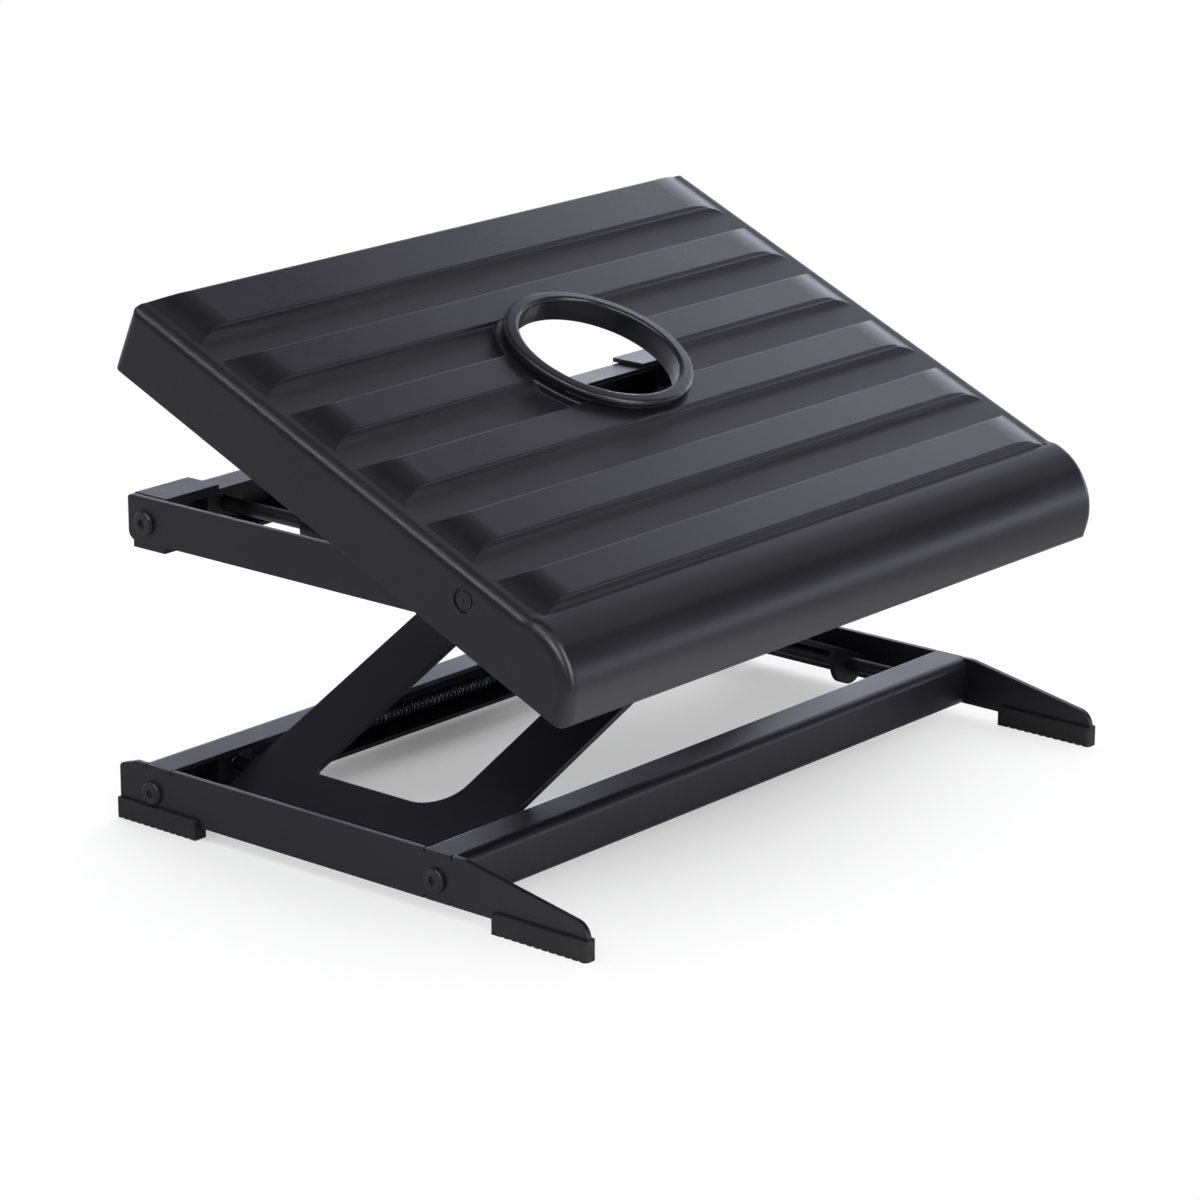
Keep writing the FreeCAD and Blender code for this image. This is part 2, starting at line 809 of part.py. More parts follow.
def inner_link():
    """Narrow link: a folded sheet with ears along both edges."""
    body = make_body("inner_link_plate")
    low = -half_span - s.link_head_overhang
    high = half_span + s.link_head_overhang
    pad(body, "XZ_Plane", inner_front, inner_rear, [link_sheet_profile(low, high)])
    half, short = s.ear_half_width, s.link_head_overhang
    for low_y in (inner_front, inner_rear - s.link_sheet):
        add_ear(body, -half_span, low_y, low_y + s.link_sheet, short, half)
        add_ear(body, as_size(0), low_y, low_y + s.link_sheet, half, half)
        add_ear(body, half_span, low_y, low_y + s.link_sheet, half, short)
    bore_ears(body, (-half_span, 0, half_span), inner_front, inner_rear)
    place(body, crossing_x, 0, crossing_z, AWAY, lift_angle)
    keep("inner_link_plate", body)


def clip_pair(name, x, z, front, rear):
    """Two retaining rings on one rod, against the faces at front and rear."""
    inner = s.rod_radius + s.shaft_gap
    first = ring(f"{name}_front", AWAY, x, front - s.running_gap - s.clip_sheet, z,
                 s.clip_radius, inner, s.clip_sheet)
    second = ring(f"{name}_rear", AWAY, x, rear + s.running_gap, z,
                  s.clip_radius, inner, s.clip_sheet)
    keep(name, group(name, [first, second]))


def lift_rods():
    """Rods of the crossing and of the two sliding ends, with their retaining rings."""
    low = window_front - s.link_sheet - s.clip_sheet
    high = window_rear + s.link_sheet + s.clip_sheet
    rod = cylinder("crossing_rod", AWAY, crossing_x, low, crossing_z, s.rod_radius, high - low)
    keep("crossing_rod", rod)
    clip_space = s.running_gap + s.clip_sheet + s.running_gap
    clip_pair("crossing_clips", crossing_x, crossing_z,
              window_front + clip_space, window_rear - clip_space)
    low = front_web_face + s.running_gap
    high = base_rear_web_face - s.running_gap
    rod = cylinder("lower_slide_rod", AWAY, sliding_pivot, low, lower_pivot, s.rod_radius,
                   high - low)
    keep("lower_slide_rod", rod)
    clip_pair("lower_slide_clips", sliding_pivot, lower_pivot, outer_front, outer_rear)
    high = upper_rear_web_face - s.running_gap
    rod = cylinder("upper_slide_rod", AWAY, sliding_pivot, low, upper_pivot, s.rod_radius,
                   high - low)
    keep("upper_slide_rod", rod)
    clip_pair("upper_slide_clips", sliding_pivot, upper_pivot, inner_front, inner_rear)
    rod = cylinder("upper_pivot_rod", AWAY, fixed_pivot, low, upper_pivot, s.rod_radius,
                   high - low)
    keep("upper_pivot_rod", rod)
    inner = s.rod_radius + s.shaft_gap
    length = s.link_clearance - clip_space - s.running_gap
    spacers = [
        ring("crossing_spacer_front", AWAY, crossing_x, window_front + clip_space, crossing_z,
             s.clip_radius, inner, length),
        ring("crossing_spacer_rear", AWAY, crossing_x, inner_rear + s.running_gap, crossing_z,
             s.clip_radius, inner, length),
    ]
    keep("crossing_spacers", group("crossing_spacers", spacers))


def slider(name, height, web_side, mouth_side):
    """Plastic block that slides in a channel and carries the end of a sliding rod."""
    body = make_body(name)
    half = s.slider_length / 2
    rise = s.rail_height / 2 - s.channel_sheet - s.running_gap
    pad(body, "YZ_Plane", -half, half, [block_outline(web_side, mouth_side, -rise, rise)])
    low, high = sorted((web_side, mouth_side), key=lambda size: size.number)
    pocket(body, "XZ_Plane", low, high, circles=[(0, 0, s.rod_radius + s.shaft_gap)])
    place(body, sliding_pivot, 0, height)
    keep(name, body)


def sliders():
    front = front_web_face + s.running_gap
    slider("lower_front_slider", lower_pivot, front, front + s.slider_width)
    slider("upper_front_slider", upper_pivot, front, front + s.slider_width)
    rear = base_rear_web_face - s.running_gap
    slider("lower_rear_slider", lower_pivot, rear, rear - s.slider_width)
    rear = upper_rear_web_face - s.running_gap
    slider("upper_rear_slider", upper_pivot, rear, rear - s.slider_width)


# Lift spring: a coil along X with a long leg and an open eye round a rod at each end

EYE_OPENING = 60
EYE_MIDDLE = 15
SPREAD_LIMIT = 1e-9
STRAIGHT_LIMIT = 1e-7
HALF_SHARE = 0.5
SAMPLES_PER_TURN = 24
SAMPLED_TURNS = 3
SAMPLE_COUNT_APART = 16


def arc_from(start, heading, end):
    """Circular arc that leaves start along the heading and ends at end."""
    chord = end - start
    side = chord - heading * chord.dot(heading)
    if side.Length < STRAIGHT_LIMIT:
        return Part.LineSegment(start, end)
    side.normalize()
    radius = chord.dot(chord) / (2 * chord.dot(side))
    centre = start + side * radius
    middle = ((start - centre) + (end - centre)).normalize()
    return Part.Arc(start, centre + middle * radius, end)


def reversed_arc(curve):
    edge = curve.toShape()
    first, last = edge.Vertexes[0].Point, edge.Vertexes[-1].Point
    if isinstance(curve, Part.LineSegment):
        return Part.LineSegment(last, first)
    middle = edge.valueAt((edge.FirstParameter + edge.LastParameter) / 2)
    return Part.Arc(last, middle, first)


def biarc(start, heading, end, leaving):
    """Two arcs that join two points and meet both headings."""
    chord = end - start
    spread = 2 * (1 - heading.dot(leaving))
    lean = chord.dot(heading + leaving)
    if spread < SPREAD_LIMIT:
        reach = chord.dot(chord) / (2 * lean)
    else:
        reach = (math.sqrt(lean * lean + spread * chord.dot(chord)) - lean) / spread
    meeting = (start + end + (heading - leaving) * reach) * HALF_SHARE
    second = arc_from(end, leaving * -1, meeting)
    return [arc_from(start, heading, meeting), reversed_arc(second)]


def lift_spring():
    wire = s.wire_radius.number
    coil = s.coil_radius.number
    turns = int(s.coil_turns.number)
    length = s.coil_length.number
    bend = s.wire_bend.number
    eye = s.rod_radius.number + s.running_gap.number + wire
    rod_z = lower_pivot.number
    wire_z = rod_z - eye
    axis_y = base_rear_channel_web.number - s.spring_set_back.number
    axis = Vector(0, axis_y, wire_z + coil)
    pitch = length / turns

    def coil_point(turn):
        angle = 2 * math.pi * turn
        along = pitch * turn - length / 2
        return axis + Vector(along, -coil * math.sin(angle), -coil * math.cos(angle))

    def coil_heading(turn):
        angle = 2 * math.pi * turn
        around = 2 * math.pi * coil
        return Vector(pitch, -around * math.cos(angle), around * math.sin(angle)).normalize()

    def eye_points(rod_x, y, way):
        """Tip, far side and lowest point of an eye; way is the side that its leg leaves to."""
        opening = math.radians(EYE_OPENING)
        middle = math.radians(EYE_MIDDLE)
        tip = Vector(rod_x + eye * way * math.cos(opening), y, rod_z + eye * math.sin(opening))
        far = Vector(rod_x - eye * way * math.cos(middle), y, rod_z + eye * math.sin(middle))
        return tip, far, Vector(rod_x, y, wire_z)

    first, last = coil_point(0), coil_point(turns)
    left_bend = Vector(first.x - bend, axis_y + bend, wire_z)
    right_bend = Vector(last.x + bend, axis_y - bend, wire_z)
    tip, far, low = eye_points(sliding_pivot.number, left_bend.y, RIGHT)
    curves = [Part.Arc(tip, far, low), Part.LineSegment(low, left_bend)]
    curves += biarc(left_bend, ACROSS, first, coil_heading(0))
    for step in range(turns * 2):
        begin, end = step / 2, (step + 1) / 2
        curves += biarc(coil_point(begin), coil_heading(begin), coil_point(end), coil_heading(end))
    curves += biarc(last, coil_heading(turns), right_bend, ACROSS)
    tip, far, low = eye_points(fixed_pivot.number, right_bend.y, LEFT)
    curves += [Part.LineSegment(right_bend, low), Part.Arc(low, far, tip)]
    path = Part.Wire([curve.toShape() for curve in curves])
    start_edge = path.Edges[0]
    start = start_edge.valueAt(start_edge.FirstParameter)
    heading = start_edge.tangentAt(start_edge.FirstParameter)
    section = Part.Wire([Part.Circle(start, heading, wire).toShape()])
    tube = path.makePipeShell([section], True, False)
    feature = doc.addObject("Part::Feature", "lift_spring")
    feature.Shape = tube
    samples = [
        coil_point(i / SAMPLES_PER_TURN) for i in range(SAMPLES_PER_TURN * SAMPLED_TURNS)
    ]
    gaps = [
        (a - b).Length - 2 * wire
        for i, a in enumerate(samples)
        for b in samples[i + SAMPLE_COUNT_APART:]
    ]
    print(f"spring: {turns} turns, least gap to itself {min(gaps):.2f} mm")
    print(f"spring: volume {tube.Volume:.1f}, section times length "
          f"{math.pi * wire * wire * path.Length:.1f} cubic mm")
    keep("lift_spring", feature)


# Upper frame

def upper_rail(name, side):
    """Flat side rail with a round front end about the tilt pivot."""
    body = make_body(name)
    low, high = span(side, rail_inner, s.frame_half_width)
    front_round = s.upper_rail_height * ROUND_END_SHARE
    front = plate_pivot_y - s.upper_rail_height / 2
    rear = upper_rear_channel_web + s.upper_rail_overhang
    corners = [
        (front, upper_bottom, front_round),
        (rear, upper_bottom, s.upper_rail_heel_round),
        (rear, s.upper_top, s.upper_rail_round),
        (front, s.upper_top, front_round),
    ]
    holes = [
        (plate_pivot_y, plate_pivot_z, s.tilt_shank_radius + s.shaft_gap),
        (-bolt_front, upper_bolt_height, s.bolt_radius + s.shaft_gap),
        (bolt_rear, upper_bolt_height, s.bolt_radius + s.shaft_gap),
    ]
    pad(body, "YZ_Plane", low, high, [corners], holes)
    keep(name, body)


def upper_channel(name, web, mouth):
    """Cross channel between the end flanges of the corner brackets."""
    body = make_body(name)
    section = channel_section(web, mouth, upper_channel_bottom, upper_channel_top)
    pad(body, "YZ_Plane", -upper_channel_end, upper_channel_end, [section])
    keep(name, body)


def corner_bracket(name, side, low_y, high_y, bolt_y):
    """Folded bracket over the end of an upper channel, held between it and the rail."""
    body = make_body(name)
    outer = side * rail_inner
    inner = side * (rail_inner - s.bracket_length)
    face = side * upper_channel_end
    corners = [
        (outer, upper_channel_bottom),
        (outer, s.upper_top, s.bracket_bend),
        (inner, s.upper_top),
        (inner, upper_channel_top),
        (face, upper_channel_top),
        (face, upper_channel_bottom),
    ]
    pad(body, "XZ_Plane", low_y, high_y, [corners])
    low, high = span(side, upper_channel_end, rail_inner)
    hole = [(bolt_y, upper_bolt_height, s.bolt_radius + s.shaft_gap)]
    pocket(body, "YZ_Plane", low, high, circles=hole)
    keep(name, body)


def upper_frame():
    upper_rail("upper_left_rail", LEFT)
    upper_rail("upper_right_rail", RIGHT)
    front_mouth = -front_channel_web + s.channel_depth
    rear_mouth = upper_rear_channel_web - s.channel_depth
    upper_channel("upper_front_channel", -front_channel_web, front_mouth)
    upper_channel("upper_rear_channel", upper_rear_channel_web, rear_mouth)
    for side, word in ((LEFT, "left"), (RIGHT, "right")):
        corner_bracket(f"front_{word}_bracket", side, -front_channel_web, front_mouth,
                       -bolt_front)
        corner_bracket(f"rear_{word}_bracket", side, rear_mouth, upper_rear_channel_web,
                       bolt_rear)
    heights = (upper_channel_bottom + s.channel_sheet, upper_channel_top - s.channel_sheet)
    front = (front_web_face, front_web_face + s.front_block_depth)
    rear = (upper_rear_web_face, upper_rear_web_face - s.front_block_depth)
    front_bolt = (-bolt_front, upper_bolt_height)
    rear_bolt = (bolt_rear, upper_bolt_height)
    end = upper_channel_end
    short = s.block_length - s.bracket_sheet
    long = s.pivot_block_length - s.bracket_sheet
    end_block("upper_front_end_block", LEFT, end, short, front, heights, front_bolt)
    end_block("upper_rear_end_block", LEFT, end, short, rear, heights, rear_bolt)
    end_block("upper_front_pivot_block", RIGHT, end, long, front, heights, front_bolt, upper_pivot)
    end_block("upper_rear_pivot_block", RIGHT, end, long, rear, heights, rear_bolt, upper_pivot)
    bolts = [
        frame_bolt(f"upper_bolt_{i}", side, s.frame_half_width, y, upper_bolt_height)
        for i, (side, y) in enumerate(
            [(LEFT, -bolt_front), (LEFT, bolt_rear), (RIGHT, -bolt_front), (RIGHT, bolt_rear)]
        )
    ]
    keep("upper_frame_bolts", group("upper_frame_bolts", bolts))


# Foot plate, drawn with the tilt pivot at the origin: X across, Y up the slope, Z square to it

plate_top = s.plate_floor + s.land_height
plate_rear_bottom = s.plate_rear + s.plate_rear_lean
cavity_top = s.plate_floor - s.plate_shell
land_root = s.plate_floor - s.plate_shell / 2
nose_top = s.plate_floor + s.nose_rise
lowest_land_front = s.first_land_front - s.land_spacing * s.land_count
nose_crest = lowest_land_front - s.nose_crest_lead
crown_end = plate_half_width - s.crown_inset
crown_start = crown_end - s.crown_length


def plate_outline():
    """Side view of the moulding up to its groove floor, with its deep round nose."""
    return [
        (-s.nose_foot, -s.plate_wall_bottom),
        (plate_rear_bottom, -s.plate_wall_bottom),
        (s.plate_rear, s.plate_floor),
        (nose_crest + s.nose_ramp, s.plate_floor, s.nose_blend),
        (nose_crest, nose_top, s.nose_blend),
        (-s.nose_front, nose_top, s.nose_round),
    ]


def rolled_side_edges(body):
    """Names of the edges along both ends of the top and of the nose."""
    names = []
    for number, edge in enumerate(body.Shape.Edges, start=1):
        box = edge.BoundBox
        along_side = box.XLength < EDGE_TOLERANCE
        below_rear = box.YMin > s.plate_rear.number - EDGE_TOLERANCE
        at_bottom = box.ZMax < EDGE_TOLERANCE - s.plate_wall_bottom.number
        if along_side and not below_rear and not at_bottom:
            names.append(f"Edge{number}")
    return names


def lip_outline():
    """Side view of what the lower edge of the nose loses to its round."""
    reach = s.lip_round * 2
    lean = (s.nose_foot - s.nose_front) / (nose_top + s.plate_wall_bottom)
    bottom = -s.plate_wall_bottom
    return [
        (-s.nose_foot + reach, bottom),
        (-s.nose_foot, bottom, s.lip_round),
        (-s.nose_foot + reach * lean, bottom + reach),
        (-s.nose_foot - s.overrun, bottom + reach),
        (-s.nose_foot - s.overrun, bottom - s.overrun),
        (-s.nose_foot + reach, bottom - s.overrun),
    ]


def land_front(front):
    """Front of a land from its top over a narrow ledge down to the soft foot of its riser."""
    ledge = front - s.ledge_lean
    foot_end = front - s.front_riser - s.riser_foot
    return [
        (front, plate_top, s.riser_crest),
        (ledge, plate_top - s.ledge_drop, s.ledge_root),
        (ledge - s.ledge_width, plate_top - s.ledge_drop - s.ledge_fall, s.riser_crest),
        (front - s.front_riser, s.plate_floor, s.riser_foot),
        (foot_end, s.plate_floor),
        (foot_end, land_root),
    ]


def land_outline():
    """Side view of the second land: a stepped front and a crisp slope behind."""
    front = s.first_land_front - s.land_spacing
    rear = front + s.land_width
    rear_side = [
        (rear + s.rear_riser, land_root),
        (rear + s.rear_riser, s.plate_floor),
        (rear, plate_top, s.rear_crest),
    ]
    return rear_side + land_front(front)


def rear_land_outline():
    """Side view of the land along the upper edge, which ends flush with the rear wall."""
    rear_side = [
        (s.plate_rear, land_root),
        (s.plate_rear, s.plate_floor),
        (s.plate_rear_top, plate_top, s.plate_rear_round),
    ]
    return rear_side + land_front(s.first_land_front)


def crown_outline(side):
    """The space above the rolled-down ends of the lands on one side."""
    ceiling = plate_top + s.overrun
    inner = crown_start - s.crown_margin
    return [
        (side * inner, plate_top),
        (side * crown_start, plate_top, s.crown_round),
        (side * crown_end, s.plate_floor),
        (side * crown_end, ceiling),
        (side * inner, ceiling),
    ]


def corner_outline(side):
    """Plan view of what an upright rear corner loses to its round."""
    edge = plate_half_width + s.overrun
    x = plate_half_width
    reach = s.rear_corner_round * 2
    return [
        (side * x, plate_rear_bottom - reach),
        (side * x, plate_rear_bottom, s.rear_corner_round),
        (side * (x - reach), plate_rear_bottom),
        (side * (x - reach), plate_rear_bottom + s.overrun),
        (side * edge, plate_rear_bottom + s.overrun),
        (side * edge, plate_rear_bottom - reach),
    ]


def land_hollow_outline():
    """Side view of the hollow under the second land, which keeps the shell's thickness."""
    front = s.first_land_front - s.land_spacing
    rear = front + s.land_width
    return [
        (front, cavity_top - s.overrun),
        (rear, cavity_top - s.overrun),
        (rear, cavity_top),
        (rear - s.rear_riser / 2, plate_top - s.plate_shell),
        (front + s.front_riser / 2, plate_top - s.plate_shell),
        (front, cavity_top),
    ]


def cavity_outline():
    """Side view of the hollow under the plate, which keeps an even wall."""
    wall = s.plate_wall
    return [
        (-s.nose_foot + wall, -s.plate_wall_bottom - s.overrun),
        (plate_rear_bottom - wall, -s.plate_wall_bottom - s.overrun),
        (s.plate_rear - wall, cavity_top),
        (-s.nose_front + wall, cavity_top, s.nose_round - wall),
    ]


def collar_outline():
    """Half section of the collar: a round pad on the plate, a neck and a rim that stands out."""
    inner = s.hole_radius
    neck = inner + s.collar_neck
    outer = inner + s.collar_width
    pad_edge = inner + s.collar_pad_width
    pad_top = plate_top - s.collar_pad_drop
    top = plate_top + s.collar_height
    return [
        (inner, cavity_top),
        (pad_edge, cavity_top),
        (pad_edge, pad_top, s.collar_pad_round),
        (neck, pad_top),
        (neck, top - s.collar_lip),
        (outer, top - s.collar_lip, s.collar_lip_round),
        (outer, top - s.collar_fall, s.collar_round),
        (inner, top, s.collar_round),
    ]


def foot_plate():
    body = make_body("foot_plate")
    width = plate_half_width
    blank = pad(body, "YZ_Plane", -width, width, [plate_outline()])
    names = rolled_side_edges(body)
    fillet = body.newObject("PartDesign::Fillet", "foot_plate_rolled_edges")
    fillet.Base = (blank, names)
    bind(fillet, "Radius", s.edge_round)
    settle(body, fillet)
    pocket(body, "YZ_Plane", -width, width, [lip_outline()])
    corners = [corner_outline(LEFT), corner_outline(RIGHT)]
    pocket(body, "XY_Plane", -s.plate_wall_bottom - s.overrun, s.plate_floor + s.overrun, corners)
    pad(body, "YZ_Plane", -crown_end, crown_end, [rear_land_outline()])
    land = pad(body, "YZ_Plane", -crown_end, crown_end, [land_outline()])
    row = s.land_spacing * (s.land_count - 1)
    repeat(body, land, "Y_Axis", row, s.land_count, True)
    crowns = [crown_outline(LEFT), crown_outline(RIGHT)]
    pocket(body, "XZ_Plane", lowest_land_front - s.front_riser, plate_rear_bottom, crowns)
    inside = width - s.plate_wall
    nose_inside = width - s.edge_round
    pocket(body, "YZ_Plane", -nose_inside, nose_inside, [cavity_outline()])
    inner_round = s.edge_round - s.plate_wall
    hollow = [
        (-inside, -s.plate_wall_bottom - s.overrun),
        (inside, -s.plate_wall_bottom - s.overrun),
        (inside, cavity_top, inner_round),
        (-inside, cavity_top, inner_round),
    ]
    pocket(body, "XZ_Plane", -s.nose_front + s.nose_round, s.plate_rear - s.plate_wall, [hollow])
    reach = crown_start - s.crown_margin
    hollow = pocket(body, "YZ_Plane", -reach, reach, [land_hollow_outline()])
    repeat(body, hollow, "Y_Axis", row, s.land_count, True)
    opening = [(0, s.hole_back, s.hole_radius + s.collar_neck / 2)]
    pocket(body, "XY_Plane", cavity_top - s.overrun, plate_top + s.overrun, circles=opening)
    turned(body, "YZ_Plane", s.hole_back, collar_outline())
    pivot = [(0, 0, s.tilt_hole_radius)]
    pocket(body, "YZ_Plane", -width - s.overrun, width + s.overrun, circles=pivot)
    place(body, 0, plate_pivot_y, plate_pivot_z, ACROSS, s.plate_tilt)
    keep("foot_plate", body)


def tilt_pivots():
    """Screws, bushes and nuts that carry the plate on the front ends of the upper rails."""
    screws, bushes, nuts = [], [], []
    head_bottom = plate_half_width - s.tilt_bush_inset
    head_top = plate_half_width - s.tilt_head_inset
    tip = rail_inner - s.tilt_nut_height - s.tilt_screw_proud
    bush_radius = s.tilt_hole_radius - s.shaft_gap
    profile = [
        (0, tip),
        (s.tilt_shank_radius, tip),
        (s.tilt_shank_radius, head_bottom),
        (s.tilt_head_radius, head_bottom),
        (s.tilt_head_radius, head_top, s.tilt_head_round),
        (0, head_top),
    ]
    socket = [hexagon(s.tilt_socket)]
    for side, word in ((LEFT, "left"), (RIGHT, "right")):
        screw = make_body(f"{word}_tilt_screw")
        turned(screw, "XZ_Plane", 0, profile)
        pocket(screw, "XY_Plane", head_top - s.tilt_socket_depth, head_top, socket)
        place(screw, 0, plate_pivot_y, plate_pivot_z, AWAY, as_size(side * QUARTER_TURN))
        screws.append(screw)
        low, high = span(side, s.frame_half_width, head_bottom)
        bushes.append(ring(f"{word}_tilt_bush", ACROSS, low, plate_pivot_y, plate_pivot_z,
                           bush_radius, s.tilt_shank_radius + s.shaft_gap, high - low))
        nut = make_body(f"{word}_tilt_nut")
        low, high = span(side, rail_inner - s.tilt_nut_height, rail_inner)
        bore = [(0, 0, s.tilt_shank_radius)]
        pad(nut, "YZ_Plane", low, high, [hexagon(s.tilt_nut_flats)], bore)
        place(nut, 0, plate_pivot_y, plate_pivot_z)
        nuts.append(nut)
    keep("tilt_screws", group("tilt_screws", screws))
    keep("tilt_bushes", group("tilt_bushes", bushes))
    keep("tilt_nuts", group("tilt_nuts", nuts))


def check_and_export():
    doc.recompute()
    for thing in doc.Objects:
        if "Invalid" in thing.State or "Error" in thing.State:
            raise ValueError(f"{thing.Name} ({thing.Label}) has failed: {thing.State}")
    for name, thing in nodes.items():
        if thing.Shape.isNull() or not thing.Shape.isValid():
            raise ValueError(f"{name} has no valid shape")
    os.makedirs("parts", exist_ok=True)
    for name, thing in nodes.items():
        thing.Shape.exportStep(f"parts/{name}.step")
    print(f"{len(nodes)} nodes")


base_frame()
outer_link()
inner_link()
lift_rods()
sliders()
lift_spring()
upper_frame()
foot_plate()
tilt_pivots()
check_and_export()
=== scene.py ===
import json
import math

import bpy
from mathutils import Matrix, Vector

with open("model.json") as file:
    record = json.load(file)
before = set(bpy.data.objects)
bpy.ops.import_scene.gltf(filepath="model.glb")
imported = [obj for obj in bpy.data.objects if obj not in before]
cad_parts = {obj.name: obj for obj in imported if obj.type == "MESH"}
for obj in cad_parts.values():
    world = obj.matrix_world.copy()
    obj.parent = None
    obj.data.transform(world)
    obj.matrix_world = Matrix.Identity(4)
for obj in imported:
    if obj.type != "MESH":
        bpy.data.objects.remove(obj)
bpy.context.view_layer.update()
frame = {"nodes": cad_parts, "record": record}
nodes = frame["nodes"]

# The foot plate's slope, and how far its recessed skin lies from the origin along its normal
PLATE_SLOPE = math.radians(23.42)
PLATE_NORMAL = (0.0, -math.sin(PLATE_SLOPE), math.cos(PLATE_SLOPE))
RECESS_LEVEL = 0.20821
# How far above or below that level the recessed skin starts to change, and where it has changed
SKIN_START = 0.0008
SKIN_END = 0.0030

# Ranges of values: a whole range, the same one falling, and the middle of a noise's values
WHOLE = (0.0, 1.0)
FALLING = (1.0, 0.0)
NOISE_WIDE = (0.3, 0.7)
NOISE_TIGHT = (0.35, 0.65)

# How far a rounded normal leans from the face's own, from a flat to a sharp edge
EDGE_LEAN = (0.02, 0.25)
EDGE_SAMPLES = 6
SKIN_IOR = 1.5

# Half width of the floor, in metres
FLOOR_REACH = 14.0
# Places on the floor, each with its centre and two distances from it in metres, and the values
# at these: how pale reflections see the painted pool of light in front of the object, how white the
# camera sees the floor around the object, and how white reflections see the painted white glow at
# the far right
PAINTED_POOL = ((-0.12, -0.42, 0.0), (0.15, 0.60), (0.95, 0.36))
CLEARING = ((0.0, 0.17, 0.0), (0.04, 0.52), (0.08, 1.0))
PAINTED_GLOW = ((1.5, 0.9, 0.0), (0.9, 1.6), (0.9, 0.0))
FLOOR_ROUGHNESS = 0.75

# Directions on the sky
BEHIND = (0.20, 0.98, 0.0)
LEFT = (-1.0, 0.0, 0.0)
RIGHT = (0.94, 0.34, 0.0)
RIGHT_FRONT = (0.60, -0.80, 0.0)
RIGHT_BEHIND = (0.76, 0.65, 0.0)
# Heights on the sky, as the upward part of a direction
LOW_SKY = (-0.10, 0.18)
MIDDLE_SKY = (0.18, 0.52)
HORIZON = (-0.10, 0.07)
UPPER_SKY = (0.0, 0.9)
# How far a direction leans toward a sector's middle, from the sector's edge to its full strength
SECTOR = (0.2, 0.8)
HALF_SKY = (0.0, 0.8)
NARROW_SECTOR = (0.5, 0.9)
AWAY_TO_TOWARD = (-1.0, 1.0)
# Narrow strips of the sky: the direction that each lies square to, its middle, and how far a
# direction at its ends leans toward that middle
STRIPS = [
    ((0.806, -0.277, 0.525), (-0.60, -0.28, 0.75), 0.82),
    ((0.989, 0.135, -0.061), (0.14, -0.86, 0.48), 0.88),
]
STRIP_HALF_WIDTH = (0.03, 0.08)
STRIP_FADE = 0.08

# Softness of the limits between heights
BAND_SOFTNESS = 0.14
HORIZON_SOFTNESS = 0.05
# Strength of the light that isn't reflected, by height and by the lean to the right rear
HEIGHT_STRENGTH = (1.1, 1.45)
SIDE_STRENGTH = (0.72, 1.40)
# Dim light of the mirrored sky above the horizon
SKY_RISE = (-0.02, 0.02)
SKY_STRENGTH = (0.0, 0.06)

# Lamp, in metres and watts
LAMP_PLACE = (1.0, 0.45, 0.70)
LAMP_TARGET = (0.0, 0.45, 0.70)
LAMP_WIDTH = 1.1
LAMP_HEIGHT = 0.75
LAMP_POWER = 3.2
LAMP_COLOUR = (0.95, 0.95, 1.11)

# The photograph's viewpoint in metres, its width and focal length in pixels, its sensor in
# millimetres
CAMERA_PLACE = (-1.7823, -1.5009, 0.8113)
CAMERA_AZIMUTH = math.radians(-49.6498)
CAMERA_ELEVATION = math.radians(16.8952)
CAMERA_ROLL = math.radians(0.0592)
PHOTO_PIXELS = 1200
FOCAL_PIXELS = 4462.777
SENSOR_WIDTH = 36.0
NEAR_CLIP = 0.05
FAR_CLIP = 60.0


# Node tree helpers

class Tree:
    """A material or world node tree with short calls for its nodes and links."""

    def __init__(self, owner):
        owner.use_nodes = True
        self.tree = owner.node_tree
        self.tree.nodes.clear()

    def add(self, kind, inputs=None, **settings):
        node = self.tree.nodes.new(kind)
        for name, value in settings.items():
            setattr(node, name, value)
        for name, value in (inputs or {}).items():
            self.feed(node.inputs[name], value)
        return node

    def feed(self, socket, value):
        if isinstance(value, bpy.types.NodeSocket):
            self.tree.links.new(value, socket)
        else:
            socket.default_value = value

    def noise(self, coordinate, scale, detail, roughness):
        node = self.add("ShaderNodeTexNoise", {
            "Vector": coordinate, "Scale": scale, "Detail": detail, "Roughness": roughness,
        })
        return node.outputs["Fac"]

    def stretched(self, coordinate, scale):
        node = self.add("ShaderNodeMapping", {"Vector": coordinate, "Scale": scale})
        return node.outputs["Vector"]

    def ranged(self, value, source, target):
        """The value carried from one range to another, and held at that range's ends."""
        node = self.add("ShaderNodeMapRange", {
            "Value": value, "From Min": source[0], "From Max": source[1],
            "To Min": target[0], "To Max": target[1],
        })
        return node.outputs["Result"]

    def compared(self, operation, first, second):
        """One number from two vectors, such as their distance."""
        node = self.add("ShaderNodeVectorMath", operation=operation)
        self.feed(node.inputs[0], first)
        self.feed(node.inputs[1], second)
        return node.outputs["Value"]

    def math(self, operation, first, second=0.0):
        node = self.add("ShaderNodeMath", operation=operation)
        self.feed(node.inputs[0], first)
        self.feed(node.inputs[1], second)
        return node.outputs[0]

    def times(self, first, second):
        return self.math("MULTIPLY", first, second)

    def plus(self, first, second):
        return self.math("ADD", first, second)

    def larger(self, first, second):
        return self.math("MAXIMUM", first, second)

    def remainder(self, share):
        """What a share leaves of 1."""
        return self.math("SUBTRACT", 1.0, share)

    def mixed(self, factor, first, second):
        node = self.add("ShaderNodeMix", data_type="RGBA")
        self.feed(node.inputs["Factor"], factor)
        self.feed(node.inputs[6], first)
        self.feed(node.inputs[7], second)
        return node.outputs[2]

    def layered(self, base, colour, mask, strength):
        """A colour laid over another where a mask lets it."""
        return self.mixed(self.times(mask, strength), base, colour)


